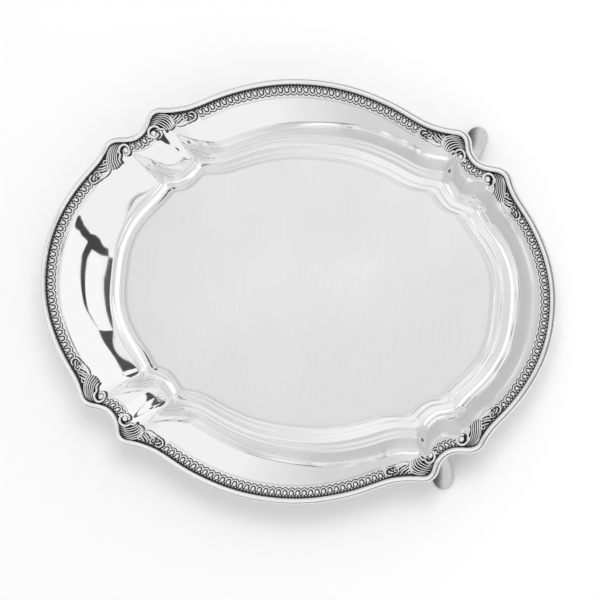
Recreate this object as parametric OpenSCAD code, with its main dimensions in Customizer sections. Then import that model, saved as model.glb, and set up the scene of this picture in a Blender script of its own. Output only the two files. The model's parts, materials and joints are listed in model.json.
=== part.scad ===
// Oval serving tray in polished silver, on four cast feet.
//
// One stamped sheet makes the flat well floor, the two-step moulding round it and the rising
// flange. A plain wire runs round the edge, and inside it lies a border of egg-and-dart strips
// with a pair of cast scroll mounts at each corner, each one ending in a leaf. Four cast feet
// hang from plates under the corners.
//
// The origin is on the table under the middle of the tray. X is the long way and Y the short
// way, and -Y is the front. Two closed outlines drive every shape: the edge of the well floor
// and the inner edge of the rim wire. A station is a numbered place along both outlines, and a
// reach is how far out a point is, from 0 at the well floor's edge to 1 at the wire.

/* [Overall] */
// Length of the tray over the rim wire, in X
tray_length = 350; // [300:1:420]
// Width of the tray over the rim wire, in Y
tray_width = 265.4; // [230:0.2:320]
// Height of the rim wire's inner edge above the table
rim_height = 44.4; // [42:0.2:52]

/* [Sheet] */
// Thickness of the stamped sheet, measured straight down
sheet = 1.3; // [1:0.1:1.8]
// Drop from the rim's inner edge to the well floor
floor_drop = 25.5; // [22:0.5:27]
// Drop from the rim's inner edge to the bottom of the groove round the floor
groove_drop = 30.5; // [28:0.5:32]
// Drop from the rim's inner edge to the border seat where it meets the flange
seat_drop = 4.3; // [4:0.1:5]

/* [Rim wire] */
// Width of the wire, seen from above
wire_width = 3.9; // [3:0.1:5]
// Height of the wire's top above its inner edge line
wire_crown = 1.2; // [0.8:0.1:1.6]
// Depth of the wire's outer side below its inner edge line
wire_skirt = 4.2; // [4:0.1:5]

/* [Border] */
// Reach at which the border starts
border_reach = 0.8; // [0.78:0.01:0.82]
// Height of the eggs above the seat
egg_height = 2; // [1.4:0.1:2.2]
// Height of the scroll mounts above the seat
mount_height = 2.6; // [2.2:0.1:2.8]
// Radius of the round volute on each mount
volute_radius = 4.2; // [3.4:0.1:4.6]
// Radius of the raised eye in each volute
eye_radius = 1.8; // [1.2:0.1:2.2]

/* [Feet] */
// Place of a foot's pad, from the middle in X
pad_x = 99.2; // [97:0.2:101]
// Place of a foot's pad, from the middle in Y
pad_y = 106.6; // [105:0.2:108]
// Radius of the pad
pad_radius = 6.8; // [5.5:0.1:7.5]
// Height of the pad
pad_height = 4.6; // [4:0.1:6]
// Radius of the flat sole that stands on the table
sole_radius = 4.8; // [4:0.1:5.4]
// Thickness of the plate that joins a leg to the sheet
plate_thickness = 1.1; // [0.8:0.1:1.6]

/* [Hidden] */

$fn = 48;

// One quarter of each outline, from the right-hand end round to the back, before it is
// stretched to the tray's size. Each row is a point and the way that the outline heads there,
// in degrees: the end, the long end curve, the first shoulder, the bay, the second shoulder,
// the side.
rim_quarter = [
    [171.1, 0, 90], [160.2, 42, 119], [145, 63.5, 131], [136, 77, 114],
    [133, 82, 148], [127, 83.6, 176],
    [117.5, 85.2, 160], [111.2, 89.4, 133], [106.9, 98, 98],
    [104.9, 102.8, 138], [100, 104.4, 178],
    [88.5, 105.7, 170], [75.5, 109.6, 156], [53.3, 119.3, 160.5], [0, 128.8, 180],
];
floor_quarter = [
    [126.4, 0, 90], [123.4, 24, 112], [112, 41.5, 133], [102.5, 52, 128],
    [99, 56.3, 146], [94.5, 57.9, 166],
    [88.5, 60, 148], [84.6, 63.2, 136], [81, 67.2, 126],
    [78.4, 69.4, 150], [74, 70.1, 176],
    [64, 71.3, 167], [53.5, 75, 157], [34, 81.6, 165], [0, 85.2, 180],
];
// Stations between each point of a quarter and the next
steps = [4, 4, 3, 2, 2, 2, 2, 2, 2, 2, 2, 2, 3, 4];
// How strongly a curve keeps its heading at each point, for its chord
pull = 1.06;

// Stations at which the pieces of the border meet, counted from the right-hand end
end_leaf_start = 7;
end_scroll_start = 10;
bay_start = 15;
bay_end = 19;
side_scroll_end = 26;
side_leaf_end = 29;

// Place of each volute: its station and its reach
end_volute = [14, 0.84];
side_volute = [20, 0.865];

// Drop at a share of the way down from the floor to the groove
function down(share) = floor_drop + share * (groove_drop - floor_drop);

// The sheet's section. Each row is a reach and the drop there: two steps, each a short riser and
// a nearly level tread, from the floor's edge down to the groove, then the flange that rises
// steeply and flattens towards the border, then the seat.
rim_seat_drop = 2.4;
sheet_section = [
    [0, floor_drop], [0.022, down(0.34)], [0.085, down(0.48)], [0.11, down(0.8)],
    [0.185, down(0.96)], [0.2, groove_drop], [0.22, groove_drop - 1], [0.26, groove_drop - 3.4],
    [0.32, 23.9], [0.42, 18.7], [0.52, 14.1], [0.62, 10.1], [0.71, 6.9],
    [border_reach, seat_drop], [1, rim_seat_drop],
];

// A point of a smooth curve from row a to row b, at share u of the way
function curve_point(a, b, u) =
    let (
        push = norm([b.x - a.x, b.y - a.y]) * pull,
        from = [a.x, a.y],
        to = [b.x, b.y],
        leave = push * [cos(a.z), sin(a.z)],
        arrive = push * [cos(b.z), sin(b.z)]
    )
    (2 * u^3 - 3 * u^2 + 1) * from + (u^3 - 2 * u^2 + u) * leave
    + (3 * u^2 - 2 * u^3) * to + (u^3 - u^2) * arrive;

// A quarter of an outline as points, its last point included
function quarter_points(rows) = [
    for (i = [0 : len(steps) - 1], k = [0 : steps[i] - 1])
        curve_point(rows[i], rows[i + 1], k / steps[i]),
    [rows[len(rows) - 1].x, rows[len(rows) - 1].y],
];

// How much longer and wider the tray is than its rim quarter
stretch = [
    (tray_length / 2 - wire_width) / rim_quarter[0].x,
    (tray_width / 2 - wire_width) / rim_quarter[len(rim_quarter) - 1].y,
];

// A whole outline: the quarter and its three mirror images, stretched to the tray's size
function outline(rows) =
    let (q = quarter_points(rows), last = len(q) - 1)
    [for (p = concat(
        [for (i = [0 : last - 1]) q[i]],
        [for (i = [last : -1 : 1]) [-q[i].x, q[i].y]],
        [for (i = [0 : last - 1]) -q[i]],
        [for (i = [last : -1 : 1]) [q[i].x, -q[i].y]]
    )) [p.x * stretch.x, p.y * stretch.y]];

rim_line = outline(rim_quarter);
floor_line = outline(floor_quarter);
stations = len(rim_line);

function around(i) = (i + stations) % stations;
function plan(i, reach) = floor_line[around(i)] * (1 - reach) + rim_line[around(i)] * reach;
function sheet_z(reach) = rim_height - lookup(reach, sheet_section);

// A point on the sheet's upper face, raised by lift
function on_sheet(i, reach, lift) =
    let (p = plan(i, reach))
    [p.x, p.y, sheet_z(reach) + lift];

// Outward direction of the rim's outline at a station
function outward(i) =
    let (along = rim_line[around(i + 1)] - rim_line[around(i - 1)])
    [along.y, -along.x] / norm(along);

// Triangles that join n-sided ring number r to the next one
function ring_faces(n, r, next) = [
    for (k = [0 : n - 1], half = [0, 1])
        let (k2 = (k + 1) % n)
        half == 0
            ? [r * n + k, next * n + k, next * n + k2]
            : [r * n + k, next * n + k2, r * n + k2],
];

// A solid through a row of rings with n points each, closed by a face at both ends. The points
// of a ring run anticlockwise for someone whom the row of rings comes towards.
module loft(rings) {
    n = len(rings[0]);
    last = len(rings) - 1;
    polyhedron(
        points = [for (ring = rings, p = ring) p],
        faces = concat(
            [[for (k = [0 : n - 1]) k]],
            [for (r = [0 : last - 1], f = ring_faces(n, r, r + 1)) f],
            [[for (k = [n - 1 : -1 : 0]) last * n + k]]
        )
    );
}

// The stamped sheet: its underside from the floor out to the edge, then its upper face back in
module tray_body() {
    rows = len(sheet_section);
    under = [for (s = sheet_section) [for (i = [0 : stations - 1]) on_sheet(i, s[0], -sheet)]];
    upper = [for (r = [rows - 1 : -1 : 0])
        [for (i = [0 : stations - 1]) on_sheet(i, sheet_section[r][0], 0)]];
    color("silver") loft(concat(under, upper));
}

// The wire's section: each row is a distance outward from its inner edge and a height
wire_section = [
    [0, -wire_skirt], [0, -0.4], [wire_width * 0.2, wire_crown * 0.75],
    [wire_width * 0.5, wire_crown], [wire_width * 0.8, wire_crown * 0.7],
    [wire_width, -0.6], [wire_width, -wire_skirt + 1.2], [wire_width * 0.75, -wire_skirt],
];

module rim_wire() {
    n = len(wire_section);
    rings = [for (i = [0 : stations - 1])
        [for (w = wire_section)
            let (p = rim_line[i] + outward(i) * w.x)
            [p.x, p.y, rim_height + w.y]]];
    color("gainsboro") polyhedron(
        points = [for (ring = rings, p = ring) p],
        faces = [for (i = [0 : stations - 1], f = ring_faces(n, i, around(i + 1))) f]
    );
}

// A moulding laid on the seat from one station to another. Each row of its section is a reach
// and a height above the seat.
module moulding(section, from, to) {
    loft([for (i = [from : to]) [for (s = section) on_sheet(i, s[0], s[1])]]);
}

egg_section = [
    [border_reach, 0], [border_reach, egg_height * 0.3], [0.83, egg_height * 0.6],
    [0.88, egg_height], [0.94, egg_height * 0.95], [0.97, egg_height * 0.5], [1, egg_height * 0.45],
    [1, 0],
];
// The mounts stand over the border's inner edge, on the flange
mount_reach = 0.75;
mount_section = [
    [mount_reach, 0], [mount_reach, mount_height * 0.6], [border_reach, mount_height * 0.9],
    [0.9, mount_height], [0.95, mount_height * 0.85], [1, mount_height * 0.6], [1, 0],
];
leaf_section = [
    [border_reach, 0], [border_reach, egg_height * 0.4], [0.83, egg_height * 0.7],
    [0.89, egg_height * 1.1], [0.95, egg_height * 0.8], [1, egg_height * 0.6], [1, 0],
];

module border_strip(from, to) {
    color("lightgray") moulding(egg_section, from, to);
}

// A cast scroll: the fan of flutes round a shoulder, and the volute with its raised eye. The
// volute is a little proud of the flutes, and its underside is sunk into them.
volute_rise = 0.3;
volute_sink = 1;

module scroll_mount(from, to, volute) {
    middle = plan(volute[0], volute[1]);
    color("silver") {
        moulding(mount_section, from, to);
        translate([middle.x, middle.y, sheet_z(volute[1])]) {
            translate([0, 0, -volute_sink])
                cylinder(r = volute_radius, h = volute_sink + mount_height + volute_rise);
            translate([0, 0, mount_height]) sphere(r = eye_radius);
        }
    }
}

module leaf_terminal(from, to) {
    color("lightgray") moulding(leaf_section, from, to);
}

// Stations and reaches that a foot's plate covers under the flange
plate_from = 17;
plate_to = 24;
plate_inner = 0.4;
plate_outer = 0.66;

module foot_plate() {
    color("gainsboro")
        loft([for (i = [plate_from : plate_to])
            [for (s = [[plate_outer, 1], [plate_inner, 1], [plate_inner, 0], [plate_outer, 0]])
                on_sheet(i, s[0], -sheet - s[1] * plate_thickness)]]);
}

// The leg's middle line, from the plate down to the pad, before it is stretched to the tray's
// size. Each row is a plan point, the share of the height from the pad's top up to the sheet,
// the width and the thickness.
leg_rows = [
    [97.5, 82.6, 0.98, 11, 6.4], [100.2, 87, 0.82, 9.4, 5.4], [101.8, 92, 0.6, 9.2, 4.6],
    [102, 97.6, 0.35, 9.4, 4], [101, 102.4, 0.16, 11, 3.8], [pad_x, pad_y - 1.4, 0, 12.4, 3.6],
];
leg_sides = 12;
leg_bottom = pad_height - 0.5;
leg_top = sheet_z((plate_inner + plate_outer) / 2) - sheet;

// Middle of row k of the leg
function leg_point(k) =
    let (row = leg_rows[k])
    [row[0] * stretch.x, row[1] * stretch.y, leg_bottom + row[2] * (leg_top - leg_bottom)];

// A leg's oval section: across is level, and through leans back from the leg's own direction
function leg_ring(k) =
    let (
        last = len(leg_rows) - 1,
        row = leg_rows[k],
        along = leg_point(min(k + 1, last)) - leg_point(max(k - 1, 0)),
        run = along / norm(along),
        across = [run.y, -run.x, 0] / norm([run.x, run.y]),
        through = cross(run, across)
    )
    [for (a = [0 : leg_sides - 1])
        let (turn = 360 * a / leg_sides)
        leg_point(k) + across * cos(turn) * row[3] / 2 + through * sin(turn) * row[4] / 2];

// Height of the pad's widest part, as a share of its height
pad_bulge = 0.4;

module foot() {
    color("silver") {
        loft([for (k = [0 : len(leg_rows) - 1]) leg_ring(k)]);
        translate([pad_x * stretch.x, pad_y * stretch.y, 0])
            rotate_extrude()
                polygon([
                    [0, 0], [sole_radius, 0], [pad_radius * 0.91, pad_height * 0.15],
                    [pad_radius, pad_height * pad_bulge], [pad_radius * 0.93, pad_height * 0.7],
                    [pad_radius * 0.6, pad_height], [0, pad_height],
                ]);
    }
}

// Each corner piece is drawn for the back right corner and mirrored to the others
module back_left() {
    mirror([1, 0, 0]) children();
}

module front_right() {
    mirror([0, 1, 0]) children();
}

module front_left() {
    rotate(180) children();
}

half_turn = stations / 2;
quarter_turn = stations / 4;

tray_body();
rim_wire();

border_strip(-end_leaf_start, end_leaf_start);  // border_strip_right
border_strip(half_turn - end_leaf_start, half_turn + end_leaf_start);  // border_strip_left
border_strip(side_leaf_end, 2 * quarter_turn - side_leaf_end);  // border_strip_back
border_strip(half_turn + side_leaf_end, stations - side_leaf_end);  // border_strip_front

border_strip(bay_start, bay_end);  // bay_strip_back_right
back_left() border_strip(bay_start, bay_end);  // bay_strip_back_left
front_left() border_strip(bay_start, bay_end);  // bay_strip_front_left
front_right() border_strip(bay_start, bay_end);  // bay_strip_front_right

scroll_mount(end_scroll_start, bay_start, end_volute);  // end_scroll_back_right
back_left() scroll_mount(end_scroll_start, bay_start, end_volute);  // end_scroll_back_left
front_left() scroll_mount(end_scroll_start, bay_start, end_volute);  // end_scroll_front_left
front_right() scroll_mount(end_scroll_start, bay_start, end_volute);  // end_scroll_front_right

scroll_mount(bay_end, side_scroll_end, side_volute);  // side_scroll_back_right
back_left() scroll_mount(bay_end, side_scroll_end, side_volute);  // side_scroll_back_left
front_left() scroll_mount(bay_end, side_scroll_end, side_volute);  // side_scroll_front_left
front_right() scroll_mount(bay_end, side_scroll_end, side_volute);  // side_scroll_front_right

leaf_terminal(end_leaf_start, end_scroll_start);  // end_leaf_back_right
back_left() leaf_terminal(end_leaf_start, end_scroll_start);  // end_leaf_back_left
front_left() leaf_terminal(end_leaf_start, end_scroll_start);  // end_leaf_front_left
front_right() leaf_terminal(end_leaf_start, end_scroll_start);  // end_leaf_front_right

leaf_terminal(side_scroll_end, side_leaf_end);  // side_leaf_back_right
back_left() leaf_terminal(side_scroll_end, side_leaf_end);  // side_leaf_back_left
front_left() leaf_terminal(side_scroll_end, side_leaf_end);  // side_leaf_front_left
front_right() leaf_terminal(side_scroll_end, side_leaf_end);  // side_leaf_front_right

foot_plate();  // foot_plate_back_right
back_left() foot_plate();  // foot_plate_back_left
front_left() foot_plate();  // foot_plate_front_left
front_right() foot_plate();  // foot_plate_front_right

foot();  // foot_back_right
back_left() foot();  // foot_back_left
front_left() foot();  // foot_front_left
front_right() foot();  // foot_front_right
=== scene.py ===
"""An oval serving tray in polished silver, with an egg-and-dart border and four cast feet.

The tray stands on its feet on a pale floor. Lengths are worked out in millimetres, in the
frame's own axes, and become metres where a mesh is made.
"""

import json
import math

import bpy
import numpy as np
from mathutils import Matrix, Vector

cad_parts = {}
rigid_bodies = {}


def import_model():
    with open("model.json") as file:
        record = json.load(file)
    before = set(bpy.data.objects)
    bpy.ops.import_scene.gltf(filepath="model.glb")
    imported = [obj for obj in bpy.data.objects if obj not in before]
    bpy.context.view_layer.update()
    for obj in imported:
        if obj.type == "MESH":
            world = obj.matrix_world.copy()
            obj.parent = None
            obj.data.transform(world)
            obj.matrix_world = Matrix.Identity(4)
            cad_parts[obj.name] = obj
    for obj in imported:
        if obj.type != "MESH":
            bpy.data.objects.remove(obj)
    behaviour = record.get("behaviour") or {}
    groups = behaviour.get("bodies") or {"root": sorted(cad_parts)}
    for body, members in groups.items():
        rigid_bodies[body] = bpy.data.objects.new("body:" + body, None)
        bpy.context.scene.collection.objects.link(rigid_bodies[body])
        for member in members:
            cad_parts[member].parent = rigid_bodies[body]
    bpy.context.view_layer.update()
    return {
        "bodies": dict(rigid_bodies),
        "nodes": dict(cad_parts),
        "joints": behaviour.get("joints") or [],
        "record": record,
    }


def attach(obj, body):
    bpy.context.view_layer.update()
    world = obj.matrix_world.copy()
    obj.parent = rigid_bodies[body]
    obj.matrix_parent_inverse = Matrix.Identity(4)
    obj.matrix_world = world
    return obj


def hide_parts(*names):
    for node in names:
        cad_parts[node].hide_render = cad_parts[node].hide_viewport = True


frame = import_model()
scene = bpy.context.scene

# ---- Camera ------------------------------------------------------------------------------
# The camera looks down on the tray from 23 degrees off the vertical, over its right-hand
# end, through a long lens, and leans a little clockwise.
METRE = 0.001
rim_height = 44.4
camera_tilt = math.radians(23)
camera_lean = 0.1  # radians
camera_distance = 1788
aim_right, aim_down = 7.6, 5.8
lens_length, film_width = 172.3, 36
view_depth = 100  # metres

back = Vector((math.sin(camera_tilt), 0, math.cos(camera_tilt)))
level = Vector((math.cos(camera_tilt), 0, -math.sin(camera_tilt)))
ahead = Vector((0, 1, 0))
right = level * math.cos(camera_lean) + ahead * math.sin(camera_lean)
up = ahead * math.cos(camera_lean) - level * math.sin(camera_lean)
place = Vector((0, 0, rim_height)) + right * aim_right - up * aim_down + back * camera_distance

camera_data = bpy.data.cameras.new("camera")
camera_data.lens = lens_length
camera_data.sensor_width = film_width
camera_data.clip_end = view_depth
camera = bpy.data.objects.new("camera", camera_data)
camera.matrix_world = Matrix.Translation(place * METRE) @ Matrix((right, up, back)).transposed().to_4x4()
scene.collection.objects.link(camera)
scene.camera = camera
scene.view_settings.view_transform = "Standard"


# ---- Floor and light ---------------------------------------------------------------------
# A white seamless floor under a large white tent, with a soft key light over the right-hand
# end and a bright panel beyond it. Black flags round the panel draw the dark shapes in the silver.
def srgb(code):
    """The linear colour of an sRGB hex value: each channel's standard curve, undone."""
    channels = np.array([int(code[k:k + 2], 16) for k in (0, 2, 4)]) / 255
    linear = np.where(channels <= 0.04045, channels / 12.92, ((channels + 0.055) / 1.055) ** 2.4)
    return (*linear.tolist(), 1.0)


def add(tree, kind, inputs=None, **settings):
    """Adds a node, sets its properties, and gives each named input a value or a link."""
    node = tree.nodes.new(kind)
    for name, value in settings.items():
        setattr(node, name, value)
    for name, value in (inputs or {}).items():
        if isinstance(value, bpy.types.NodeSocket):
            tree.links.new(value, node.inputs[name])
        else:
            node.inputs[name].default_value = value
    return node


def new_material(name):
    """An empty node material and its tree."""
    material = bpy.data.materials.new(name)
    material.use_nodes = True
    material.node_tree.nodes.clear()
    return material, material.node_tree


# Cards are placed as seen from the middle of the flange at the left end
flange_middle = np.array([-150.0, 0.0, 30.0])


def stand_card(name, corners, away, glow):
    """A card that glows or is black, its corners given as azimuth and elevation in degrees.

    Each corner stands the same way off, in its direction from the flange's middle. Only
    reflections see the card, so it adds no light and no shadow of its own.
    """
    turn, rise = np.radians(np.array(corners, float)).T
    toward = np.column_stack([np.cos(rise) * np.cos(turn), np.cos(rise) * np.sin(turn), np.sin(rise)])
    mesh = bpy.data.meshes.new(name)
    mesh.from_pydata(((flange_middle + toward * away) * METRE).tolist(), [], [list(range(len(corners)))])
    card = bpy.data.objects.new(name, mesh)
    scene.collection.objects.link(card)
    material, tree = new_material(name)
    light = add(tree, "ShaderNodeEmission", {"Color": (glow, glow, glow, 1), "Strength": 1.0})
    add(tree, "ShaderNodeOutputMaterial", {"Surface": light.outputs[0]})
    mesh.materials.append(material)
    card.visible_camera = False
    card.visible_diffuse = False
    card.visible_shadow = False
    card.visible_transmission = False


panel_away, flag_away, silk_away = 2800, 1500, 2500
panel_glow, silk_glow = 1.03, 1.22
black_cloth, grey_cloth, dark_wood = 0.06, 0.08, 0.1
stand_card("white softbox", [
    (-8, 0), (66, 0), (66, 40), (55, 56), (-26, 56), (-32, 45), (-16, 28)], panel_away, panel_glow)
stand_card("flag at the softbox's side", [
    (-42, 56), (-38, 42), (-30, 33), (-25, 29), (-24, 23), (-21, 19), (-13, 14), (-7, 14), (-12, 25),
    (-19, 31), (-26, 38), (-33, 50)], flag_away, black_cloth)
stand_card("hose across the softbox", [
    (-18, 30), (-8, 34), (1, 34), (12, 31), (23, 27), (32, 21), (41, 14), (35, 18), (28, 22.5),
    (14, 26.5), (1, 29), (-6, 28.5), (-12, 25)], flag_away, black_cloth)
stand_card("flag low at the back", [
    (41, 15), (43, 4), (49, 3), (55, 2), (64, 2), (64, 8), (56, 10), (49, 13)], flag_away, grey_cloth)
stand_card("table's edge", [
    (-7, 14), (2, 16), (16, 13), (32, 9), (43, 6), (43, -1), (30, -1), (14, 3), (0, 6),
    (-6, 8)], flag_away, dark_wood)

# A small silk high on the left, narrow enough to brighten only the middle of the well
stand_card("silk over the well", [(144, 61), (186, 61), (200, 75), (112, 75)], silk_away, silk_glow)

floor_radius, floor_sides = 3000, 64
rim = np.linspace(0, 2 * math.pi, floor_sides, endpoint=False)
floor_mesh = bpy.data.meshes.new("floor")
floor_mesh.from_pydata(
    (np.column_stack([np.cos(rim), np.sin(rim), 0 * rim]) * floor_radius * METRE).tolist(),
    [], [list(range(floor_sides))])
floor = bpy.data.objects.new("floor", floor_mesh)
scene.collection.objects.link(floor)
paper, tree = new_material("white paper sweep")
sheet_shader = add(tree, "ShaderNodeBsdfPrincipled",
                   {"Base Color": srgb("FAFAFA"), "Roughness": 0.9, "Specular IOR Level": 0.1})
add(tree, "ShaderNodeOutputMaterial", {"Surface": sheet_shader.outputs[0]})
floor_mesh.materials.append(paper)

world = bpy.data.worlds.new("white tent")
scene.world = world
world.use_nodes = True
world.node_tree.nodes.clear()
# The tent is dimmer for the floor than for the silver, so that the key light casts the shadow
ray = add(world.node_tree, "ShaderNodeLightPath")
tent = add(world.node_tree, "ShaderNodeMapRange",
           {"Value": ray.outputs["Is Diffuse Ray"], "To Min": 0.97, "To Max": 0.88})
# Its left-hand wall and its top are dimmer, which greys the right-hand flange and the treads.
# The ramp's places run from 0 at the far left to 1 at the far right.
toward = add(world.node_tree, "ShaderNodeTexCoord")
split = add(world.node_tree, "ShaderNodeSeparateXYZ", {"Vector": toward.outputs["Generated"]})
across = add(world.node_tree, "ShaderNodeMapRange", {"Value": split.outputs["X"], "From Min": -1.0})
wall = add(world.node_tree, "ShaderNodeValToRGB", {"Fac": across.outputs["Result"]})
far_left, bright = wall.color_ramp.elements
far_left.position, far_left.color = 0.03, (0.72, 0.72, 0.72, 1)
bright.position, bright.color = 0.38, (1, 1, 1, 1)
wall.color_ramp.elements.new(0.22).color = (0.76, 0.76, 0.76, 1)
top = add(world.node_tree, "ShaderNodeMapRange",
          {"Value": split.outputs["Z"], "From Min": 0.9, "From Max": 0.99, "To Min": 1.0, "To Max": 0.8},
          interpolation_type="SMOOTHSTEP")
shaded = add(world.node_tree, "ShaderNodeMath",
             {0: top.outputs["Result"], 1: wall.outputs["Color"]}, operation="MULTIPLY")
dimmed = add(world.node_tree, "ShaderNodeMath",
             {0: tent.outputs["Result"], 1: shaded.outputs[0]}, operation="MULTIPLY")
sky = add(world.node_tree, "ShaderNodeBackground",
          {"Color": (1, 1, 1, 1), "Strength": dimmed.outputs[0]})
add(world.node_tree, "ShaderNodeOutputWorld", {"Surface": sky.outputs[0]})

# The key light faces the well's middle and stays out of reflections
key_centre, key_aim = Vector((600, 430, 1430)), Vector((0, 0, 30))
key_size, key_watts = 520, 8
key_data = bpy.data.lights.new("key softbox", "AREA")
key_data.shape = "RECTANGLE"
key_data.size = key_data.size_y = key_size * METRE
key_data.energy = key_watts
key = bpy.data.objects.new("key softbox", key_data)
scene.collection.objects.link(key)
facing = (key_centre - key_aim).normalized()
key.matrix_world = (Matrix.Translation(key_centre * METRE)
                    @ facing.to_track_quat("Z", "Y").to_matrix().to_4x4())
key.visible_glossy = False


# ---- Tray body ---------------------------------------------------------------------------
# One stamped sheet of silver plate, 1.3 mm thick: the flat well floor, the two-step moulding
# round it and the rising flange. The floor is left satin from fine emery, the rest is buffed
# to a mirror.
sheet = 1.3
floor_drop, groove_drop, seat_drop, rim_drop = 25.5, 30.5, 4.3, 2.4
border_reach = 0.8
# A quarter of each outline, from the right-hand end round to the back: x, y and the heading
rim_quarter = np.array([
    [171.1, 0, 90], [160.2, 42, 119], [145, 63.5, 131], [136, 77, 114], [133, 82, 148],
    [127, 83.6, 176], [117.5, 85.2, 160], [111.2, 89.4, 133], [106.9, 98, 98],
    [104.9, 102.8, 138], [100, 104.4, 178], [88.5, 105.7, 170], [75.5, 109.6, 156],
    [53.3, 119.3, 160.5], [0, 128.8, 180]])
floor_quarter = np.array([
    [126.4, 0, 90], [123.4, 24, 112], [112, 41.5, 133], [102.5, 52, 128], [99, 56.3, 146],
    [94.5, 57.9, 166], [88.5, 60, 148], [84.6, 63.2, 136], [81, 67.2, 126], [78.4, 69.4, 150],
    [74, 70.1, 176], [64, 71.3, 167], [53.5, 75, 157], [34, 81.6, 165], [0, 85.2, 180]])
# Stations between one point of a quarter and the next, 36 in all
steps = np.array([4, 4, 3, 2, 2, 2, 2, 2, 2, 2, 2, 2, 3, 4])
knots = np.concatenate([[0], np.cumsum(steps)])
quarter = int(knots[-1])
half, stations = 2 * quarter, 4 * quarter
pull = 1.06
fine = 20  # points to a station in the stored outlines
column_step = 0.2  # stations between one column of a mesh and the next


def quarter_curve(rows, at):
    """Points of a quarter outline at fractional stations.

    Between two rows the curve is the cubic that leaves and arrives along their headings, with
    tangents as long as the chord times the pull.
    """
    span = np.clip(np.searchsorted(knots, at, side="right") - 1, 0, len(steps) - 1)
    a, b = rows[span], rows[span + 1]
    u = ((at - knots[span]) / steps[span])[:, None]
    push = np.linalg.norm(b[:, :2] - a[:, :2], axis=1)[:, None] * pull
    turn_a, turn_b = np.radians(a[:, 2]), np.radians(b[:, 2])
    leave = push * np.column_stack([np.cos(turn_a), np.sin(turn_a)])
    arrive = push * np.column_stack([np.cos(turn_b), np.sin(turn_b)])
    return ((2 * u**3 - 3 * u**2 + 1) * a[:, :2] + (u**3 - 2 * u**2 + u) * leave
            + (3 * u**2 - 2 * u**3) * b[:, :2] + (u**3 - u**2) * arrive)


def closed_outline(rows, soften=0.3):
    """The quarter and its three mirror images, as points at even steps of a station.

    A running average with a bell weight, as wide as soften stations, takes the sharpness off.
    """
    at = np.arange(stations * fine) / fine
    fold, local = np.divmod(at, quarter)
    local = np.where(fold % 2 == 0, local, quarter - local)
    points = quarter_curve(rows, local)
    points *= np.column_stack([np.where(np.isin(fold, (1, 2)), -1, 1), np.where(fold >= 2, -1, 1)])
    shift = np.arange(-3 * fine, 3 * fine + 1)
    weight = np.exp(-0.5 * (shift / (soften * fine)) ** 2)
    weight /= weight.sum()
    return sum(w * np.roll(points, -k, axis=0) for k, w in zip(shift, weight))


rim_line = closed_outline(rim_quarter)
floor_line = closed_outline(floor_quarter)


def outline_at(line, at):
    """Points of a stored outline at fractional stations, by straight interpolation."""
    place = np.asarray(at, float) * fine
    low = np.floor(place).astype(int)
    share = (place - low)[..., None]
    return line[low % len(line)] * (1 - share) + line[(low + 1) % len(line)] * share


def plan(at, reach):
    """A point of the plan: reach 0 is on the floor's edge and reach 1 on the rim's."""
    reach = np.asarray(reach, float)[..., None]
    return outline_at(floor_line, at) * (1 - reach) + outline_at(rim_line, at) * reach


def smooth_curve(points, count):
    """A curve through all the points: each piece is the cubic of its four nearest points."""
    p = np.asarray(points, float)
    p = np.vstack([2 * p[0] - p[1], p, 2 * p[-1] - p[-2]])
    t = np.linspace(0, len(p) - 3, count)
    k = np.minimum(t.astype(int), len(p) - 4)
    u = (t - k)[:, None]
    a, b, c, d = p[k], p[k + 1], p[k + 2], p[k + 3]
    return 0.5 * (2 * b + (c - a) * u + (2 * a - 5 * b + 4 * c - d) * u**2
                  + (3 * b - a - 3 * c + d) * u**3)


# The sheet's section as reach and drop: two steps with rounded edges from the floor down to the
# groove, then the flange, which starts steep and flattens all the way out
step_rows = [[-0.2, floor_drop], [0, floor_drop], [0.022, 27.2], [0.085, 27.9], [0.11, 29.5],
             [0.185, 30.3], [0.2, groove_drop], [0.206, 30.35], [0.22, 29.6]]
flange_rows = [[0.22, 29.6], [0.26, 27.2], [0.32, 23.9], [0.42, 18.7], [0.52, 14.1], [0.62, 10.1],
               [0.71, 6.9], [border_reach, seat_drop], [0.9, 3.2], [1, rim_drop], [1.05, 2.1]]
flange_start = 0.22
drop_reach = np.arange(-0.15, 1.04, 0.0005)
flange_curve = smooth_curve(flange_rows, 400)
drop_value = np.where(drop_reach < flange_start,
                      np.interp(drop_reach, *np.array(step_rows).T),
                      np.interp(drop_reach, flange_curve[:, 0], flange_curve[:, 1]))
# A running average with a bell weight, in samples, rounds the edges
bell_width, bell_end = 8, 40
bell = np.exp(-0.5 * (np.arange(-bell_end, bell_end + 1) / bell_width) ** 2)
drop_value = np.convolve(np.pad(drop_value, bell_end, mode="edge"), bell / bell.sum(), mode="valid")


def sheet_z(reach):
    """Height of the sheet's upper face above the table at a reach."""
    return rim_height - np.interp(reach, drop_reach, drop_value)


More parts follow.
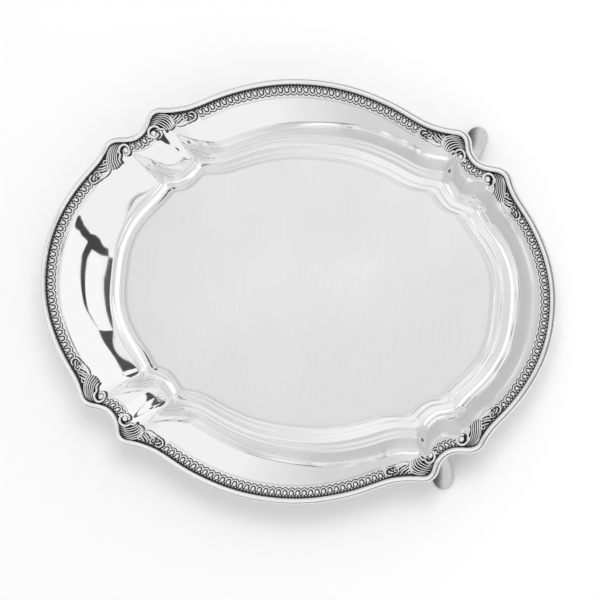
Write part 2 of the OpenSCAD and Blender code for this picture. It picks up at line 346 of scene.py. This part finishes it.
def solid(name, rings, loop=False, black=None):
    """A closed smooth mesh through rings of points, the rings round a loop or capped.

    rings is an array of ring, point and xyz in millimetres, and each ring is closed. black
    is how black each point is: black oxide in hollows, and painted shade on the rim wire and the
    feet. The faces are turned outward by the sign of the volume, which is the sum over the
    triangles of a corner dotted with the other two's cross.
    """
    count, sides = rings.shape[:2]
    points = rings.reshape(-1, 3)
    grid = np.arange(count * sides).reshape(count, sides)
    nxt = np.roll(grid, -1, axis=1)
    low, high = (grid, np.roll(grid, -1, axis=0)) if loop else (grid[:-1], grid[1:])
    low2, high2 = (nxt, np.roll(nxt, -1, axis=0)) if loop else (nxt[:-1], nxt[1:])
    quads = np.stack([low, low2, high2, high], axis=-1).reshape(-1, 4)
    a, b, c, d = (points[quads[:, k]] for k in range(4))
    volume = (np.einsum("ij,ij->i", a, np.cross(b, c)) + np.einsum("ij,ij->i", a, np.cross(c, d))).sum()
    faces = quads.tolist()
    if not loop:
        for end in (grid[0][::-1], grid[-1]):
            fan = points[end]
            volume += np.einsum("ij,ij->i", np.broadcast_to(fan[0], fan[1:-1].shape),
                                np.cross(fan[1:-1], fan[2:])).sum()
            faces.append(end.tolist())
    if volume < 0:
        faces = [face[::-1] for face in faces]
    mesh = bpy.data.meshes.new(name)
    mesh.from_pydata((points * METRE).tolist(), [], faces)
    mesh.polygons.foreach_set("use_smooth", np.ones(len(faces), bool))
    if black is not None:
        layer = mesh.attributes.new("black", "FLOAT", "POINT")
        layer.data.foreach_set("value", np.ascontiguousarray(black, np.float32).ravel())
    mesh.update()
    piece = bpy.data.objects.new(name, mesh)
    scene.collection.objects.link(piece)
    return piece


def tray_rings():
    """The sheet's points: its upper face from the middle out, then its underside back in.

    Inside the floor's edge a ring is the edge shrunk towards the middle by a share.
    """
    at = np.arange(0, stations, column_step)
    edge = plan(at, np.zeros_like(at))
    inner = np.array([0.004, 0.3, 0.6, 0.8, 0.9, 0.95, 0.975])
    middle = np.concatenate([inner[:, None, None] * edge[None],
                             np.full((len(inner), len(at), 1), rim_height - floor_drop)], axis=2)
    # the rows stand closer together over the steps than over the flange
    steps_from, steps_to = -0.004, 0.245
    reach = np.concatenate([np.linspace(steps_from, steps_to, 46), np.linspace(0.258, 1, 36)])
    rows, columns = np.meshgrid(reach, at, indexing="ij")
    outer = np.dstack([plan(columns, rows), sheet_z(rows)])
    under = np.concatenate([np.linspace(1, steps_to, 14), np.linspace(flange_start, steps_from, 12)])
    rows, columns = np.meshgrid(under, at, indexing="ij")
    below = np.dstack([plan(columns, rows), sheet_z(rows) - sheet])
    back_in = middle[::-1].copy()
    back_in[:, :, 2] -= sheet
    return np.concatenate([middle, outer, below, back_in]), len(inner)


rings, floor_rings = tray_rings()
tray = solid("stamped_sheet", rings)
tray_sides = rings.shape[1]


def silver_shader(tree, colour, roughness, normal=None):
    """A metal shader in one colour with a roughness and an optional normal, to the output."""
    inputs = {"Base Color": colour, "Metallic": 1.0, "Roughness": roughness}
    if normal is not None:
        inputs["Normal"] = normal
    shader = add(tree, "ShaderNodeBsdfPrincipled", inputs)
    add(tree, "ShaderNodeOutputMaterial", {"Surface": shader.outputs[0]})


# Buffed silver plate: a mirror with the faintest haze where the mop has crossed it, in patches
# 18 mm across, and a ripple 30 mm long left by the planishing hammer
haze_size, ripple_size = 0.018, 0.03  # metres
mirror_silver, tree = new_material("buffed mirror silver plate")
spot = add(tree, "ShaderNodeTexCoord")
haze = add(tree, "ShaderNodeTexNoise",
           {"Vector": spot.outputs["Object"], "Scale": 1 / haze_size, "Detail": 3.0, "Roughness": 0.6})
haze_range = add(tree, "ShaderNodeMapRange",
                 {"Value": haze.outputs["Fac"], "From Min": 0.3, "From Max": 0.7,
                  "To Min": 0.035, "To Max": 0.075})
swirl = add(tree, "ShaderNodeTexNoise",
            {"Vector": spot.outputs["Object"], "Scale": 1 / ripple_size, "Detail": 1.0, "Roughness": 0.5})
ripple = add(tree, "ShaderNodeBump",
             {"Height": swirl.outputs["Fac"], "Strength": 0.02, "Distance": 0.001})
silver_shader(tree, srgb("F4F4F4"), haze_range.outputs["Result"], ripple.outputs["Normal"])

# Satin silver plate: an emery grain that runs across the tray. The real lines are finer than
# 0.1 mm, and they are drawn 0.5 mm apart so that they show. The dulling drifts over 60 mm.
grain_size, drift_size = 0.0005, 0.06  # metres
satin_silver, tree = new_material("emery satin silver plate")
spot = add(tree, "ShaderNodeTexCoord")
stretch = add(tree, "ShaderNodeMapping", {"Vector": spot.outputs["Object"], "Scale": (1.0, 0.02, 1.0)})
grain = add(tree, "ShaderNodeTexNoise",
            {"Vector": stretch.outputs["Vector"], "Scale": 1 / grain_size, "Detail": 2.0, "Roughness": 0.7})
cloud = add(tree, "ShaderNodeTexNoise",
            {"Vector": spot.outputs["Object"], "Scale": 1 / drift_size, "Detail": 2.0, "Roughness": 0.5})
tone = add(tree, "ShaderNodeMix", {0: grain.outputs["Fac"], 6: srgb("DFDFDF"), 7: srgb("EAEAEA")},
           data_type="RGBA")
dull = add(tree, "ShaderNodeMapRange",
           {"Value": cloud.outputs["Fac"], "From Min": 0.3, "From Max": 0.7, "To Min": 0.26, "To Max": 0.32})
lines = add(tree, "ShaderNodeBump",
            {"Height": grain.outputs["Fac"], "Strength": 0.025, "Distance": 0.0002})
silver_shader(tree, tone.outputs[2], dull.outputs["Result"], lines.outputs["Normal"])

tray.data.materials.append(mirror_silver)
tray.data.materials.append(satin_silver)
face_row = np.repeat(np.arange(len(rings) - 1), tray_sides)
on_floor = np.concatenate([(face_row < floor_rings).astype(int), [1, 0]])
tray.data.polygons.foreach_set("material_index", on_floor)
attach(tray, "root")
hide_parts("tray_body")


# ---- Rim wire ----------------------------------------------------------------------------
# A drawn half-round wire, bent to the outline and soldered on the sheet's edge, then buffed.
# A fine seam shows on its outer side, where it meets the turned-down edge of the sheet.
# The wire's section: distance outward from its inner edge, and height above the rim line
wire_rows = [[0.0, -3.6], [0.02, -1.6], [0.1, -0.55], [0.35, 0.2], [0.75, 0.75], [1.3, 1.1],
             [1.9, 1.19], [2.45, 0.95], [2.85, 0.45], [3.05, -0.05], [3.12, -0.4],
             [3.2, -0.62], [3.4, -0.6], [3.66, -0.85], [3.84, -1.5], [3.88, -2.4],
             [3.74, -3.3], [3.3, -3.95], [2.6, -4.18], [1.6, -4.18], [0.7, -4.1], [0.15, -3.95]]


def outward(at):
    """The direction square to the rim's outline, away from the middle.

    It is the chord over a short way on either side, turned by a right angle.
    """
    beside = 0.3
    along = outline_at(rim_line, at + beside) - outline_at(rim_line, at - beside)
    square = np.column_stack([along[:, 1], -along[:, 0]])
    return square / np.linalg.norm(square, axis=1)[:, None]


at = np.arange(0, stations, column_step)
section = smooth_curve(wire_rows + wire_rows[:1], 56)[:-1]
edge, away = outline_at(rim_line, at), outward(at)
rings = np.concatenate([edge[:, None] + away[:, None] * section[None, :, :1],
                        np.broadcast_to(rim_height + section[None, :, 1:], (len(at), len(section), 1))],
                       axis=2)
# Black along the seam and painted shade on the wire's outer side, by distance from the wire's inner edge,
# and painted shade under it
underside, under_painted_shade = -2, 0.35
seam_and_shade_black = np.where(
    section[:, 1] > underside,
    np.interp(section[:, 0], [2.5, 2.8, 3.0, 3.2, 3.5, 3.9], [0, 0.55, 0.75, 0.45, 0.12, 0.3]),
    under_painted_shade)
wire = solid("rim_wire_buffed", rings, loop=True,
             black=np.broadcast_to(seam_and_shade_black, rings.shape[:2]))


def oxide_and_painted_shade(name, bright, black, shine, dull):
    """Silver that turns from buffed to black by the mesh's own mark, with specks in it.

    The mark is black oxide in the hollows of the struck and cast pieces, and painted shade on the rim wire
    and the feet. bright and black are the two colours, and shine and dull are their roughnesses.
    """
    speck_size = 0.0012  # metres
    material, tree = new_material(name)
    depth = add(tree, "ShaderNodeAttribute", attribute_name="black")
    spot = add(tree, "ShaderNodeTexCoord")
    speck = add(tree, "ShaderNodeTexNoise",
                {"Vector": spot.outputs["Object"], "Scale": 1 / speck_size, "Detail": 2.0, "Roughness": 0.6})
    spread = add(tree, "ShaderNodeMath", {0: speck.outputs["Fac"], 1: 0.35, 2: -0.17},
                 operation="MULTIPLY_ADD")
    total = add(tree, "ShaderNodeMath", {0: depth.outputs["Fac"], 1: spread.outputs[0]},
                operation="ADD", use_clamp=True)
    film = add(tree, "ShaderNodeMapRange",
               {"Value": total.outputs[0], "From Min": 0.12, "From Max": 0.85},
               interpolation_type="SMOOTHSTEP")
    colour = add(tree, "ShaderNodeMix", {0: film.outputs["Result"], 6: srgb(bright), 7: srgb(black)},
                 data_type="RGBA")
    rough = add(tree, "ShaderNodeMapRange",
                {"Value": film.outputs["Result"], "To Min": shine, "To Max": dull})
    silver_shader(tree, colour.outputs[2], rough.outputs["Result"])
    return material


# Drawn silver wire, buffed bright, black along its seam, with painted shade on its outer side and underside
wire_silver = oxide_and_painted_shade("buffed silver wire with polish in its seam", "F2F2F2", "606062", 0.08, 0.4)
wire.data.materials.append(wire_silver)
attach(wire, "root")
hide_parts("rim_wire")


# ---- Egg-and-dart strips -----------------------------------------------------------------
# Long strips of die-struck silver, soldered on the seat inside the wire: domed eggs, each in
# a U-shaped frame, with a pair of beads above it and a scalloped lip below. The hollows are
# left black with oxide when the strip is buffed.
egg_pitch, strip_height = 4.31, 2.0
egg_columns, egg_rows = 16, 34


def smooth_step(low, high, value):
    """Goes from 0 at low to 1 at high with level ends."""
    t = np.clip((value - low) / (high - low), 0, 1)
    return t * t * (3 - 2 * t)


def ridge(distance, half_width, height):
    """A rounded ridge: its height times the root of one minus the squared share out."""
    share = np.clip(distance / half_width, 0, 1)
    return height * np.sqrt(1 - share**2)


def egg_relief(s, w):
    """Height and blackening of the struck pattern, s along from an egg's middle, w in from the rim.

    The height is the greatest of four: the egg, an ellipse's dome; its frame, a round ridge on
    two straight sides closed by half an ellipse; a bead, a small round ridge; and the lip, a
    level beyond the frame. The black lies where the relief is low, and in a line by the wire.
    """
    side = np.abs(s)
    egg_middle, egg_half_width, egg_half_length = 3.0, 1.05, 1.42
    egg_foot, egg_rise, ground = 0.7, 1.25, 0.3
    egg = np.hypot(side / egg_half_width, (w - egg_middle) / egg_half_length)
    dome = np.where(egg < 1, egg_foot + egg_rise * np.sqrt(np.clip(1 - egg**2, 0, 1)), 0)
    frame_length, frame_half_width, frame_height = 2.55, 0.56, 0.95
    below = np.clip(w - egg_middle, 0, None)
    beyond = np.hypot(side, below * egg_pitch / 2 / frame_length) - egg_pitch / 2
    across = np.abs(beyond) * np.where(w > egg_middle, 1.08, 1)
    frame = ridge(across, frame_half_width, frame_height) * smooth_step(1.5, 2.3, w)
    bead_in, bead_radius, bead_height = 1.35, 0.62, 0.85
    beads = ridge(np.hypot(side - egg_pitch / 4, w - bead_in), bead_radius, bead_height)
    lip_from, lip_height = 4.2, 0.85
    lip = lip_height * smooth_step(0.72, 1.0, beyond) * (w > lip_from) * (1 - smooth_step(7.0, 8.2, w))
    relief = np.maximum.reduce([dome, frame, beads, lip])
    black = (1 - smooth_step(0.35, 0.8, relief)) * (1 - smooth_step(7.2, 7.9, w))
    return ground + relief, np.maximum(black, 1 - smooth_step(0.3, 0.7, w))


def seat_depth(at):
    """The plan width from the rim in to the floor's edge at a station."""
    return np.linalg.norm(outline_at(rim_line, at) - outline_at(floor_line, at), axis=-1)


def egg_strip(name, first, last):
    """A strip between two stations, its columns at even steps along the border's middle.

    The face fades to the flange at its inner edge, and the back lies just under the seat.
    """
    border_middle, inner_edge = 0.93, border_reach - 0.004
    back_depth, edge_sink = 0.3, 0.05
    at = np.linspace(first, last, 2000)
    path = plan(at, np.full_like(at, border_middle))
    run = np.concatenate([[0], np.cumsum(np.linalg.norm(np.diff(path, axis=0), axis=1))])
    eggs = max(1, round(run[-1] / egg_pitch))
    along = np.linspace(0, run[-1], eggs * egg_columns + 1)
    column = np.interp(along, run, at)
    share = along / run[-1] * eggs
    s = (share - np.floor(np.clip(share, 0, eggs - 1e-6)) - 0.5) * egg_pitch
    reach = np.linspace(1, inner_edge, egg_rows)
    station, row = np.meshgrid(column, reach, indexing="ij")
    w = (1 - row) * seat_depth(station)
    height, black = egg_relief(np.broadcast_to(s[:, None], w.shape), w)
    inner_fade = 1 - smooth_step(7.9, 8.5, w)
    height = np.minimum(height, strip_height) * inner_fade - edge_sink
    top = np.dstack([plan(station, row), sheet_z(row) + height])
    base_reach = np.array([inner_edge, 0.9, 1])
    station, row = np.meshgrid(column, base_reach, indexing="ij")
    base = np.dstack([plan(station, row), sheet_z(row) - back_depth])
    rings = np.concatenate([top, base], axis=1)
    marks = np.concatenate([black, np.zeros(base.shape[:2])], axis=1)
    return solid(name, rings, black=marks)


# Die-struck silver with its hollows left black by oxide, the high parts buffed bright
struck_silver = oxide_and_painted_shade("struck silver with black oxide in its hollows", "F2F2F2", "4A4A4D", 0.16, 0.5)

# Stations where the leaves take over from the long strips, and where the corner's bay lies
end_leaf_start, side_leaf_end = 7.1, 28.8
bay_start, bay_end = 15, 20  # the bay's strip runs on under the side mount's volute
for name, node, first, last in [
    ("egg_strip_right", "border_strip_right", -end_leaf_start, end_leaf_start),
    ("egg_strip_left", "border_strip_left", half - end_leaf_start, half + end_leaf_start),
    ("egg_strip_back", "border_strip_back", side_leaf_end, half - side_leaf_end),
    ("egg_strip_front", "border_strip_front", half + side_leaf_end, stations - side_leaf_end),
]:
    strip = egg_strip(name, first, last)
    strip.data.materials.append(struck_silver)
    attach(strip, "root")
    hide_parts(node)

# The four corners. A piece is worked out for the back right one and mirrored to the others:
# each row is the corner's name and the signs of its x and y.
corners = [("back_right", 1, 1), ("back_left", -1, 1), ("front_left", -1, -1), ("front_right", 1, -1)]


def corner_station(corner, at):
    """The station of a corner that matches one of the back right corner."""
    sx, sy = corner[1:]
    start = half if sx < 0 else stations if sy < 0 else 0
    return start + sx * sy * at


for corner in corners:
    ends = sorted((corner_station(corner, bay_start), corner_station(corner, bay_end)))
    strip = egg_strip("egg_bay_" + corner[0], *ends)
    strip.data.materials.append(struck_silver)
    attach(strip, "root")
    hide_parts("bay_strip_" + corner[0])


# ---- Scroll mounts -----------------------------------------------------------------------
# Cast silver mounts, two at each corner, soldered over the border: a fan of reeded flutes
# that sweeps from the shoulder of the rim round a bold volute with a domed eye. Chased after
# casting, blackened, and buffed on the high parts.
def strokes_relief(points, strokes):
    """Height, blackening and clearance of a set of tapering rounded strokes, at plan points.

    A stroke is its path, its half width, its height and its dimness along the way. The nearest
    point of the path, as a share of the half width there, gives a round section, and the
    highest stroke wins. The clearance is the way to the nearest stroke's edge.
    """
    none, ground_black = 9.0, 0.85
    flat = points.reshape(-1, 2)
    height, black, clear = (np.full(len(flat), value) for value in (-none, ground_black, none))
    t = np.linspace(0, 1, 80)
    for path, *along in strokes:
        curve = smooth_curve(path, len(t))
        wide, high, dim = (np.interp(t, np.linspace(0, 1, len(row)), row) for row in along)
        share = np.linalg.norm(flat[:, None] - curve[None], axis=2) / wide
        nearest = share.argmin(axis=1)
        share = share[np.arange(len(flat)), nearest]
        clear = np.minimum(clear, (share - 1) * wide[nearest])
        rise = high[nearest] * np.sqrt(np.clip(1 - np.clip(share, 0, 1) ** 2, 0, 1)) ** 0.9
        wins = (share < 1) & (rise > height)
        height = np.where(wins, rise, height)
        black = np.where(wins, np.maximum(smooth_step(0.5, 1.0, share), dim[nearest]), black)
    return (field.reshape(points.shape[:2]) for field in (height, black, clear))


def spiral(centre, start, sweep, outer, inner, count=14):
    """Points of a volute: the angle turns by sweep while the radius shrinks from outer to inner.

    The radius shrinks with the share of the way to the power 1.2.
    """
    t = np.linspace(0, 1, count)
    angle = np.radians(start + sweep * t)
    radius = outer + (inner - outer) * t**1.2
    return np.column_stack([centre[0] + radius * np.cos(angle), centre[1] + radius * np.sin(angle)])


def relief_piece(name, corner, first, last, inner_reach, strokes, columns, rows, ground_edges):
    """A cast piece over the border between two stations, from its strokes.

    Close to a stroke and along the rim the ground lies just over the seat. Everywhere else it
    sinks below the sheet, which leaves the piece's own edge standing on the flange. Inside the
    seat the strokes stand on a level that falls more slowly than the flange does.
    """
    stroke_margin, rim_strip = 0.45, 1.3
    ground_height, stroke_foot, sunk_depth, back_depth = 0.3, 0.15, 0.45, 0.8
    sx, sy = corner[1:]
    at = np.linspace(first, last, columns)
    reach = np.linspace(1, inner_reach, rows)
    station, row = np.meshgrid(at, reach, indexing="ij")
    ground_plan = plan(station, row)
    rise, black, clear = strokes_relief(ground_plan, strokes)
    level = rim_height - np.interp(row, [0.5, border_reach, 1], [seat_drop + 3.3, seat_drop, rim_drop])
    seat = sheet_z(row)
    lift = np.where(row > border_reach, seat, np.maximum(level, seat))
    by_rim = (1 - row) * seat_depth(station) < rim_strip
    grounded = ((clear < stroke_margin) | by_rim) & (station > ground_edges[0]) & (station < ground_edges[1])
    ground = seat + np.where(grounded & (row > border_reach), ground_height, -sunk_depth)
    z = np.where(rise > 0, np.maximum(lift + stroke_foot + rise, ground), ground)
    top = np.dstack([ground_plan, z])
    base_reach = np.linspace(inner_reach, 1, 8)
    station, row = np.meshgrid(at, base_reach, indexing="ij")
    base = np.dstack([plan(station, row), sheet_z(row) - back_depth])
    rings = np.concatenate([top, base], axis=1) * [sx, sy, 1]
    marks = np.concatenate([black, np.zeros(base.shape[:2])], axis=1)
    return solid(name, rings, black=marks)


# Each flute's path over the plan, from its tip on the leaf's side round to the shoulder
side_flutes = [
    [(90.9, 98.6), (92.0, 101.2), (94.6, 103.1), (98.6, 103.7), (102.6, 103.2)],
    [(91.4, 97.2), (92.8, 100.2), (95.5, 102.0), (99.3, 102.6), (104.2, 101.7)],
    [(92.3, 96.1), (93.9, 99.1), (96.5, 100.8), (100.2, 101.4), (105.4, 100.1)],
    [(93.4, 95.3), (95.1, 98.0), (97.6, 99.5), (101.1, 100.1), (106.0, 98.5)],
    [(94.7, 94.9), (96.4, 96.9), (98.8, 98.2), (102.0, 98.8), (106.5, 97.0)],
    [(96.2, 94.7), (97.8, 96.0), (100.0, 97.0), (103.0, 97.5), (106.9, 95.4)],
]
end_flutes = [
    [(127.6, 69.6), (128.9, 72.6), (129.0, 76.2), (128.2, 79.8), (126.0, 82.6)],
    [(128.6, 68.4), (130.0, 71.8), (130.3, 75.6), (129.6, 79.4), (127.6, 82.6)],
    [(129.9, 67.4), (131.3, 71.0), (131.6, 75.2), (131.0, 79.2), (129.2, 82.6)],
    [(131.4, 66.8), (132.6, 70.4), (132.9, 74.8), (132.3, 78.8), (130.6, 82.3)],
    [(132.9, 66.6), (133.8, 69.9), (134.1, 74.2), (133.6, 78.2), (131.9, 81.8)],
    [(134.4, 67.0), (135.0, 69.7), (135.2, 73.4), (134.8, 77.0), (133.2, 80.8)],
]


def mount_strokes(flutes, slim, centre, lead, start, sweep, eye):
    """A fan of flutes that grow dim towards the rim, and a volute that winds in to its eye."""
    outer_radius, inner_radius = 4.3, 2.3
    eye_radius, eye_height = 2.2, 2.75
    widths = slim * np.array([0.72, 0.64, 0.57, 0.46])
    strokes = [(path, widths, (1.9, 2.3, 2.2, 1.7), (0, 0, 0.15, 0.45)) for path in flutes]
    ring = np.vstack([lead, spiral(centre, start, sweep, outer_radius, inner_radius)])
    strokes.append((ring, (0.8, 1.05, 1.1, 1.05, 0.95, 0.9), (2.2, 2.8, 2.9, 2.8, 2.7, 2.5), (0, 0)))
    strokes.append(([eye, np.add(eye, 0.1)], (eye_radius, eye_radius), (eye_height, eye_height), (0, 0)))
    return strokes


side_strokes = mount_strokes(side_flutes, 1.0, (103.9, 91.7), [(97.2, 93.4), (98.6, 94.6)], 140, -320,
                             (104.15, 91.3))
end_strokes = mount_strokes(end_flutes, 0.86, (123.4, 78.9), [(126.6, 71.2), (127.4, 73.4)], -38, 320,
                            (123.0, 79.15))
cast_silver = oxide_and_painted_shade("cast and chased silver with black oxide in its hollows",
                       "F2F2F2", "4A4A4D", 0.14, 0.5)
end_scroll_start, side_scroll_end = 10, 26
mount_inner_reach, mount_columns, mount_rows = 0.62, 130, 84
for corner in corners:
    for kind, first, last, strokes, span in [
        ("end_scroll_", 9.2, 16.4, end_strokes, (end_scroll_start, bay_start)),
        ("side_scroll_", 18.0, 26.8, side_strokes, (bay_end, side_scroll_end)),
    ]:
        mount = relief_piece(kind.replace("scroll", "volute") + corner[0], corner, first, last,
                             mount_inner_reach, strokes, mount_columns, mount_rows, span)
        mount.data.materials.append(cast_silver)
        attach(mount, "root")
        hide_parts(kind + corner[0])


# ---- Leaf terminals ----------------------------------------------------------------------
# Small cast leaves that carry each mount into the egg border: a curled scroll by the rim, an
# acanthus leaf with deep veins, and a thin spray that lies along the inner edge.
# Each stroke's path as the way along the rim from the last egg and the way in from the rim,
# then its half width, its height and its dimness
leaf_paths = [
    # the outer C that meets the last egg, and the lobes inside it
    ([(6.1, 1.6), (4.4, 1.5), (2.9, 2.4), (2.4, 4.0), (3.1, 5.5), (4.7, 6.4), (6.5, 6.2)],
     (0.5, 0.7, 0.75, 0.65, 0.5), (1.8, 2.0, 1.8), (0, 0)),
    ([(7.1, 2.9), (5.9, 3.2), (4.8, 3.9), (4.4, 4.7)], (0.6, 0.75, 0.5), (1.7, 1.9, 1.4), (0, 0)),
    ([(6.9, 4.5), (6.0, 5.1)], (0.55, 0.5), (1.6, 1.4), (0, 0)),
    # the C-scroll and its tail
    ([(9.4, 3.6), (8.7, 3.2), (8.2, 3.8), (8.4, 4.8), (9.5, 5.1), (10.5, 4.3), (10.6, 2.9), (9.6, 1.9),
      (8.2, 1.8)], (0.5, 0.55, 0.6, 0.55, 0.4), (1.8, 2.1, 2.0), (0, 0)),
    ([(9.6, 5.3), (11.2, 5.4), (12.6, 6.2), (14.0, 6.9)], (0.6, 0.6, 0.4), (1.9, 1.8, 1.4), (0, 0)),
    # the leaf's veins
    ([(17.0, 5.3), (15.6, 4.5), (13.8, 3.5), (12.2, 1.9)], (0.45, 0.75, 0.6), (1.3, 2.1, 1.7), (0, 0.2)),
    ([(16.2, 6.2), (14.6, 5.5), (12.9, 4.6), (11.6, 3.3)], (0.45, 0.75, 0.6), (1.3, 2.1, 1.7), (0, 0.1)),
    ([(17.2, 3.9), (16.1, 2.8), (14.5, 1.5)], (0.4, 0.7, 0.5), (1.2, 1.9, 1.5), (0, 0.25)),
    # the curl against the fan
    ([(17.0, 2.3), (18.0, 1.6), (19.1, 2.2), (19.0, 3.5), (17.9, 3.9), (17.4, 3.2)],
     (0.5, 0.6, 0.5), (1.7, 1.9, 1.5), (0, 0)),
    # the spray along the inner edge
    ([(16.9, 7.5), (14.4, 7.9), (11.4, 7.6), (8.6, 6.9), (6.4, 6.9)],
     (0.6, 0.95, 0.95, 0.7, 0.3), (1.3, 1.7, 1.6, 1.3, 0.8), (0, 0)),
    ([(16.2, 6.9), (13.8, 6.9), (11.0, 6.4), (8.6, 6.1)], (0.3, 0.5, 0.5, 0.3), (1.3, 1.7, 1.4), (0, 0)),
]


def beside_rim(start, turn, path):
    """Plan points at ways along the rim from a station, turning that way round, and in from it."""
    along, inward = np.array(path, float).T
    longest = 9  # stations
    at = start + turn * np.linspace(0, longest, 400)
    chords = np.linalg.norm(np.diff(outline_at(rim_line, at), axis=0), axis=1)
    run = np.concatenate([[0], np.cumsum(chords)])
    station = np.interp(along, run, at)
    return outline_at(rim_line, station) - outward(station) * inward[:, None]


end_leaf_from, side_leaf_from, leaf_lap = 6.86, 29, 0.6
end_leaf_strokes = [(beside_rim(end_leaf_from, 1, path), *rest) for path, *rest in leaf_paths]
side_leaf_strokes = [(beside_rim(side_leaf_from, -1, path), *rest) for path, *rest in leaf_paths]
leaf_inner_reach, leaf_columns, leaf_rows = 0.72, 110, 60
for corner in corners:
    for kind, first, last, strokes, span in [
        ("end_leaf_", 6.8, 11.6, end_leaf_strokes, (end_leaf_start, end_scroll_start + leaf_lap)),
        ("side_leaf_", 25.0, 29.2, side_leaf_strokes, (side_scroll_end - leaf_lap, side_leaf_end)),
    ]:
        leaf = relief_piece(kind.replace("leaf", "acanthus") + corner[0], corner, first, last,
                            leaf_inner_reach, strokes, leaf_columns, leaf_rows, span)
        leaf.data.materials.append(struck_silver)
        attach(leaf, "root")
        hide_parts(kind + corner[0])


# ---- Foot plates -------------------------------------------------------------------------
# A thin shell-shaped plate at the top of each leg, with seven lobes along its edges. It is
# cast and buffed, and soldered under the flange to spread the load.
plate_from, plate_to, plate_inner, plate_outer, plate_thickness = 17, 24, 0.4, 0.66, 1.1
plate_lobes, lobe_depth, plate_edge, solder_lap = 7, 0.06, 0.06, 0.05


def plate_rings():
    """Rings across the plate, each a box with rounded corners under the sheet.

    The plate's width and depth swell from its ends by the root of one minus the fourth power
    of the way from its middle.
    """
    at = np.linspace(plate_from, plate_to, 57)
    turn = np.linspace(0, 2 * math.pi, 28, endpoint=False)
    share = (at - plate_from) / (plate_to - plate_from)
    bulge = np.sqrt(np.clip(1 - (2 * share - 1) ** 4, 0.02, 1))
    lobes = 1 - lobe_depth * np.abs(np.sin(share * plate_lobes * math.pi))
    middle = (plate_inner + plate_outer) / 2
    half_reach = (plate_outer - plate_inner) / 2 * bulge * lobes
    row = middle + half_reach[:, None] * np.sign(np.cos(turn)) * np.abs(np.cos(turn)) ** 0.6
    depth = plate_thickness * (0.5 - 0.5 * np.sign(np.sin(turn)) * np.abs(np.sin(turn)) ** 0.5)
    depth = plate_edge + (depth[None] - plate_edge) * bulge[:, None] ** 0.5
    station = np.broadcast_to(at[:, None], row.shape)
    return np.dstack([plan(station, row), sheet_z(row) - sheet - depth + solder_lap])


rings = plate_rings()
for corner in corners:
    plate = solid("shell_plate_" + corner[0], rings * [corner[1], corner[2], 1])
    plate.data.materials.append(mirror_silver)
    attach(plate, "root")
    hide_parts("foot_plate_" + corner[0])


# ---- Feet --------------------------------------------------------------------------------
# Cast feet: a leg that comes out from under the corner, slims, and spreads into a round pad
# with a flat sole. Filed smooth, polished on the outside and duller inside, with painted shade
# on the inner side and near the sole.
# Each row is the leg's middle, its width, its thickness, and its lean from upright in degrees
leg_rows = np.array([
    [97.5, 82.6, 28.4, 11, 6.4, 55], [100.2, 87, 25.2, 9.4, 5.6, 50], [101.8, 92, 18.8, 9.2, 4.8, 45],
    [102, 97.6, 12.6, 9.8, 4.4, 42], [101, 102.4, 8.0, 11.6, 5.4, 32],
    [99.8, 105.0, 5.0, 12.8, 8.6, 14], [99.3, 106.3, 2.9, 13.6, 12.6, 2],
    [99.2, 106.6, 1.5, 13.5, 13.5, 0], [99.2, 106.6, 0.45, 12.0, 12.0, 0],
    [99.2, 106.6, 0.0, 9.6, 9.6, 0], [99.2, 106.6, 0.0, 0.4, 0.4, 0]])
# How strong the painted shade is on the inner side, by the sole, and at most
inner_painted_shade, sole_painted_shade, most_painted_shade = 0.78, 0.4, 0.85


def foot_rings():
    """Ellipses along the leg, each leaning back by its row's angle, and how much painted shade they carry.

    The painted shade grows towards the side that faces the middle of the tray, and near the sole.
    """
    rows = smooth_curve(leg_rows, 61)
    rows[:, 2] = np.clip(rows[:, 2], 0, None)
    turn = np.linspace(0, 2 * math.pi, 32, endpoint=False)
    lean = np.radians(rows[:, 5])
    across = np.array([1.0, 0, 0])
    through = np.column_stack([0 * lean, np.cos(lean), np.sin(lean)])
    rings = (rows[:, None, :3] + across * (rows[:, 3] / 2)[:, None, None] * np.cos(turn)[None, :, None]
             + through[:, None] * (rows[:, 4] / 2)[:, None, None] * np.sin(turn)[None, :, None])
    rings[:, :, 2] = np.clip(rings[:, :, 2], 0, None)
    inner_side = inner_painted_shade * smooth_step(-0.8, 0.8, -np.cos(turn))
    by_sole = sole_painted_shade * (1 - smooth_step(0.6, 2.2, rows[:, 2]))[:, None]
    return rings, np.clip(inner_side + by_sole, 0, most_painted_shade)


# Cast silver, its colour greyed as painted shade for the dark under the tray, with more painted
# shade on the side that faces the middle of the tray and near the sole
foot_silver = oxide_and_painted_shade("cast silver with tarnish on its inner side", "CDCDCD", "5C5C5E", 0.24, 0.45)
rings, foot_painted_shade = foot_rings()
for corner in corners:
    foot = solid("spread_foot_" + corner[0], rings * [corner[1], corner[2], 1], black=foot_painted_shade)
    foot.data.materials.append(foot_silver)
    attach(foot, "root")
    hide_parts("foot_" + corner[0])
